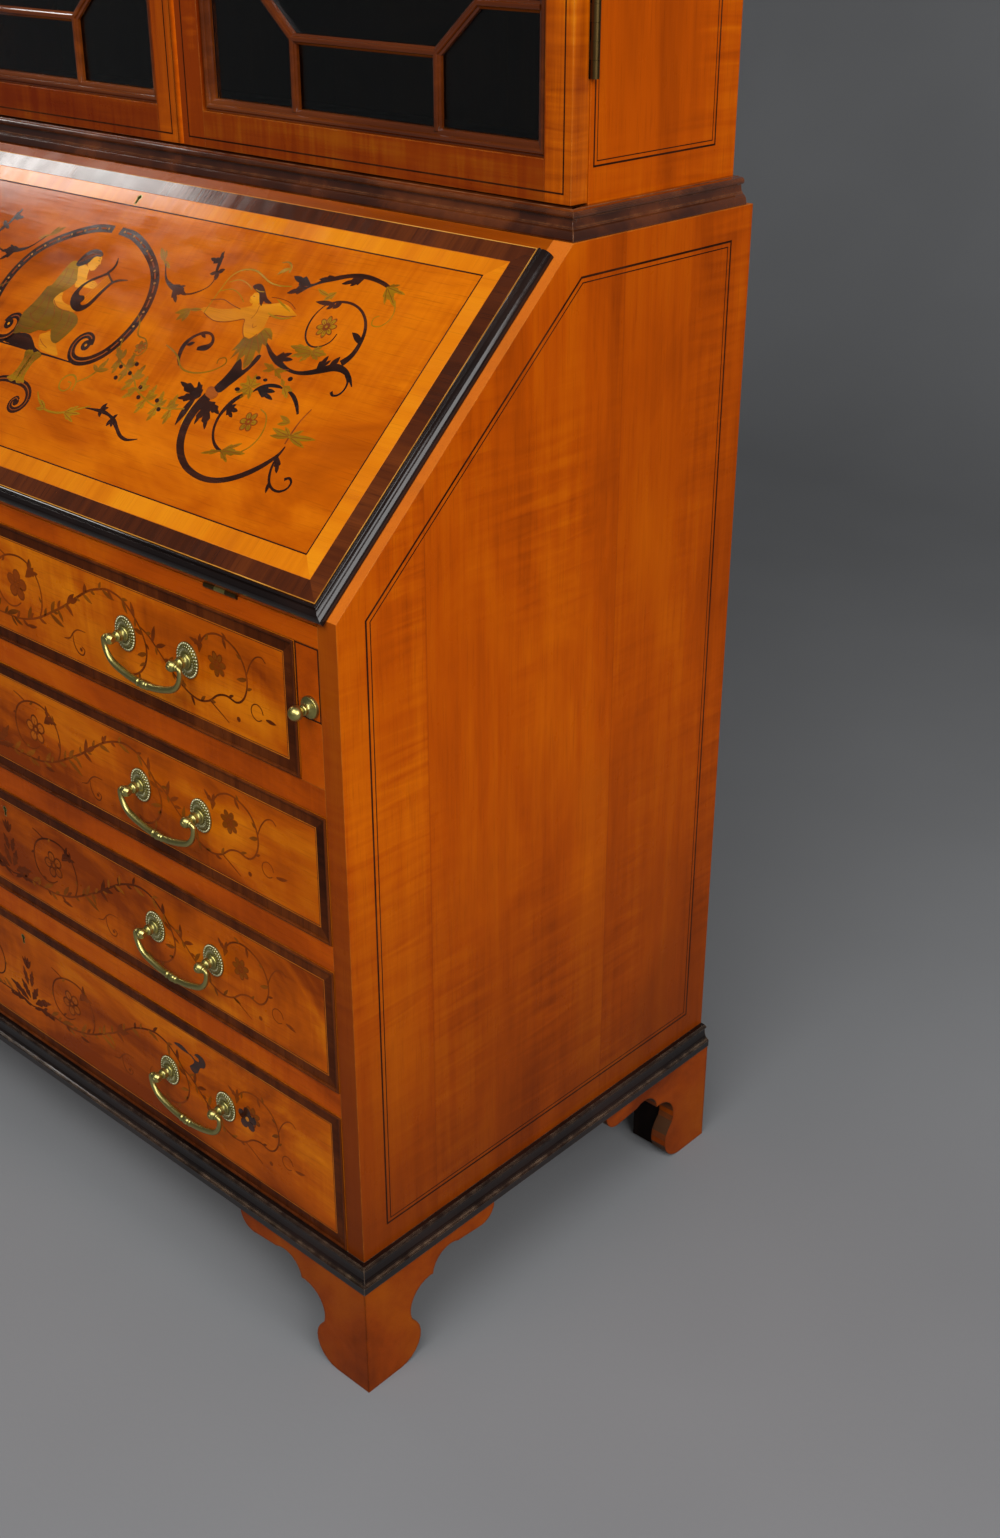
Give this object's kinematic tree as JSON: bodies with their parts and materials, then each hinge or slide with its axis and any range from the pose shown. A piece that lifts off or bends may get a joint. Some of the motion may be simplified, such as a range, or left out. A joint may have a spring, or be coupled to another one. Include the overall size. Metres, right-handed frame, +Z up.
{
  "type": "bureau bookcase",
  "caption": "Slant-front bureau with graduated long drawers, a hinged writing fall on lopers and fitted interior, under a bookcase with glazed astragal doors.",
  "frame": {"origin": "middle of the footprint at floor level, under the feet", "axes": "+Z up; the drawers, the fall and the doors face -Y; +X to the right as seen from the front"},
  "size_m": [1.024, 0.501, 2.15],
  "materials": {
    "satinwood": "french-polished satinwood veneer with marquetry and dark stringing",
    "rosewood": "polished rosewood",
    "ebonised": "ebonised and polished wood",
    "oak": "plain oak with a dry surface",
    "brass": "aged lacquered brass",
    "glass": "clear old window glass"
  },
  "bodies": {
    "carcase": {"bureau_sides": "satinwood", "bureau_top": "satinwood", "writing_bed": "satinwood", "bottom_board": "oak", "bureau_back": "oak", "drawer_rails": "satinwood", "drawer_runners": "oak", "loper_partitions": "oak", "loper_bearers": "satinwood", "base_moulding": "ebonised", "bracket_feet": "satinwood", "foot_blocks": "oak", "pigeonholes": "satinwood", "waist_moulding": "rosewood", "bookcase_sides": "satinwood", "bookcase_boards": "oak", "bookcase_back": "oak", "shelf_bearers": "oak", "shelves": "satinwood", "frieze": "satinwood", "cornice": "ebonised", "fixed_hinge_leaves": "brass"},
    "fall": {"fall_board": "satinwood", "fall_lip": "ebonised", "fall_brass": "brass"},
    "loper_left": {"loper_left": "satinwood", "loper_knob_left": "brass"},
    "loper_right": {"loper_right": "satinwood", "loper_knob_right": "brass"},
    "door_left": {"door_left_frame": "satinwood", "door_left_bars": "rosewood", "door_left_glass": "glass", "door_left_brass": "brass"},
    "door_right": {"door_right_frame": "satinwood", "door_right_bars": "rosewood", "door_right_glass": "glass", "door_right_brass": "brass"},
    "drawer_1": {"drawer_1_front": "satinwood", "drawer_1_box": "oak", "drawer_1_brass": "brass"},
    "drawer_2": {"drawer_2_front": "satinwood", "drawer_2_box": "oak", "drawer_2_brass": "brass"},
    "drawer_3": {"drawer_3_front": "satinwood", "drawer_3_box": "oak", "drawer_3_brass": "brass"},
    "drawer_4": {"drawer_4_front": "satinwood", "drawer_4_box": "oak", "drawer_4_brass": "brass"},
    "bail_1_left": {"bail_1_left": "brass"},
    "bail_1_right": {"bail_1_right": "brass"},
    "bail_2_left": {"bail_2_left": "brass"},
    "bail_2_right": {"bail_2_right": "brass"},
    "bail_3_left": {"bail_3_left": "brass"},
    "bail_3_right": {"bail_3_right": "brass"},
    "bail_4_left": {"bail_4_left": "brass"},
    "bail_4_right": {"bail_4_right": "brass"},
    "nest_left": {"nest_drawer_left": "satinwood"},
    "nest_middle": {"nest_drawer_middle": "satinwood"},
    "nest_right": {"nest_drawer_right": "satinwood"}
  },
  "joints": [
    {"name": "fall_hinge", "type": "hinge", "parent": "carcase", "child": "fall", "pos_m": [0, -0.2295, 0.7225], "axis": [1, 0, 0], "range_deg": [0, 138.4]},
    {"name": "loper_left_slide", "type": "slide", "parent": "carcase", "child": "loper_left", "axis": [0, -1, 0], "range_m": [0, 0.25]},
    {"name": "loper_right_slide", "type": "slide", "parent": "carcase", "child": "loper_right", "axis": [0, -1, 0], "range_m": [0, 0.25]},
    {"name": "door_left_hinge", "type": "hinge", "parent": "carcase", "child": "door_left", "pos_m": [-0.4697, 0.05775, 0.981], "axis": [0, 0, -1], "range_deg": [0, 115]},
    {"name": "door_right_hinge", "type": "hinge", "parent": "carcase", "child": "door_right", "pos_m": [0.4697, 0.05775, 0.981], "axis": [0, 0, 1], "range_deg": [0, 115]},
    {"name": "drawer_1_slide", "type": "slide", "parent": "carcase", "child": "drawer_1", "axis": [0, -1, 0], "range_m": [0, 0.35]},
    {"name": "drawer_2_slide", "type": "slide", "parent": "carcase", "child": "drawer_2", "axis": [0, -1, 0], "range_m": [0, 0.35]},
    {"name": "drawer_3_slide", "type": "slide", "parent": "carcase", "child": "drawer_3", "axis": [0, -1, 0], "range_m": [0, 0.35]},
    {"name": "drawer_4_slide", "type": "slide", "parent": "carcase", "child": "drawer_4", "axis": [0, -1, 0], "range_m": [0, 0.35]},
    {"name": "bail_1_left_swing", "type": "hinge", "parent": "drawer_1", "child": "bail_1_left", "pos_m": [-0.267, -0.2455, 0.651], "axis": [-1, 0, 0], "range_deg": [-18, 85]},
    {"name": "bail_1_right_swing", "type": "hinge", "parent": "drawer_1", "child": "bail_1_right", "pos_m": [0.267, -0.2455, 0.651], "axis": [-1, 0, 0], "range_deg": [-18, 85]},
    {"name": "bail_2_left_swing", "type": "hinge", "parent": "drawer_2", "child": "bail_2_left", "pos_m": [-0.267, -0.2455, 0.51175], "axis": [-1, 0, 0], "range_deg": [-18, 85]},
    {"name": "bail_2_right_swing", "type": "hinge", "parent": "drawer_2", "child": "bail_2_right", "pos_m": [0.267, -0.2455, 0.51175], "axis": [-1, 0, 0], "range_deg": [-18, 85]},
    {"name": "bail_3_left_swing", "type": "hinge", "parent": "drawer_3", "child": "bail_3_left", "pos_m": [-0.267, -0.2455, 0.37], "axis": [-1, 0, 0], "range_deg": [-18, 85]},
    {"name": "bail_3_right_swing", "type": "hinge", "parent": "drawer_3", "child": "bail_3_right", "pos_m": [0.267, -0.2455, 0.37], "axis": [-1, 0, 0], "range_deg": [-18, 85]},
    {"name": "bail_4_left_swing", "type": "hinge", "parent": "drawer_4", "child": "bail_4_left", "pos_m": [-0.267, -0.2455, 0.21375], "axis": [-1, 0, 0], "range_deg": [-18, 85]},
    {"name": "bail_4_right_swing", "type": "hinge", "parent": "drawer_4", "child": "bail_4_right", "pos_m": [0.267, -0.2455, 0.21375], "axis": [-1, 0, 0], "range_deg": [-18, 85]},
    {"name": "nest_left_slide", "type": "slide", "parent": "carcase", "child": "nest_left", "axis": [0, -1, 0], "range_m": [0, 0.14]},
    {"name": "nest_middle_slide", "type": "slide", "parent": "carcase", "child": "nest_middle", "axis": [0, -1, 0], "range_m": [0, 0.14]},
    {"name": "nest_right_slide", "type": "slide", "parent": "carcase", "child": "nest_right", "axis": [0, -1, 0], "range_m": [0, 0.14]}
  ]
}
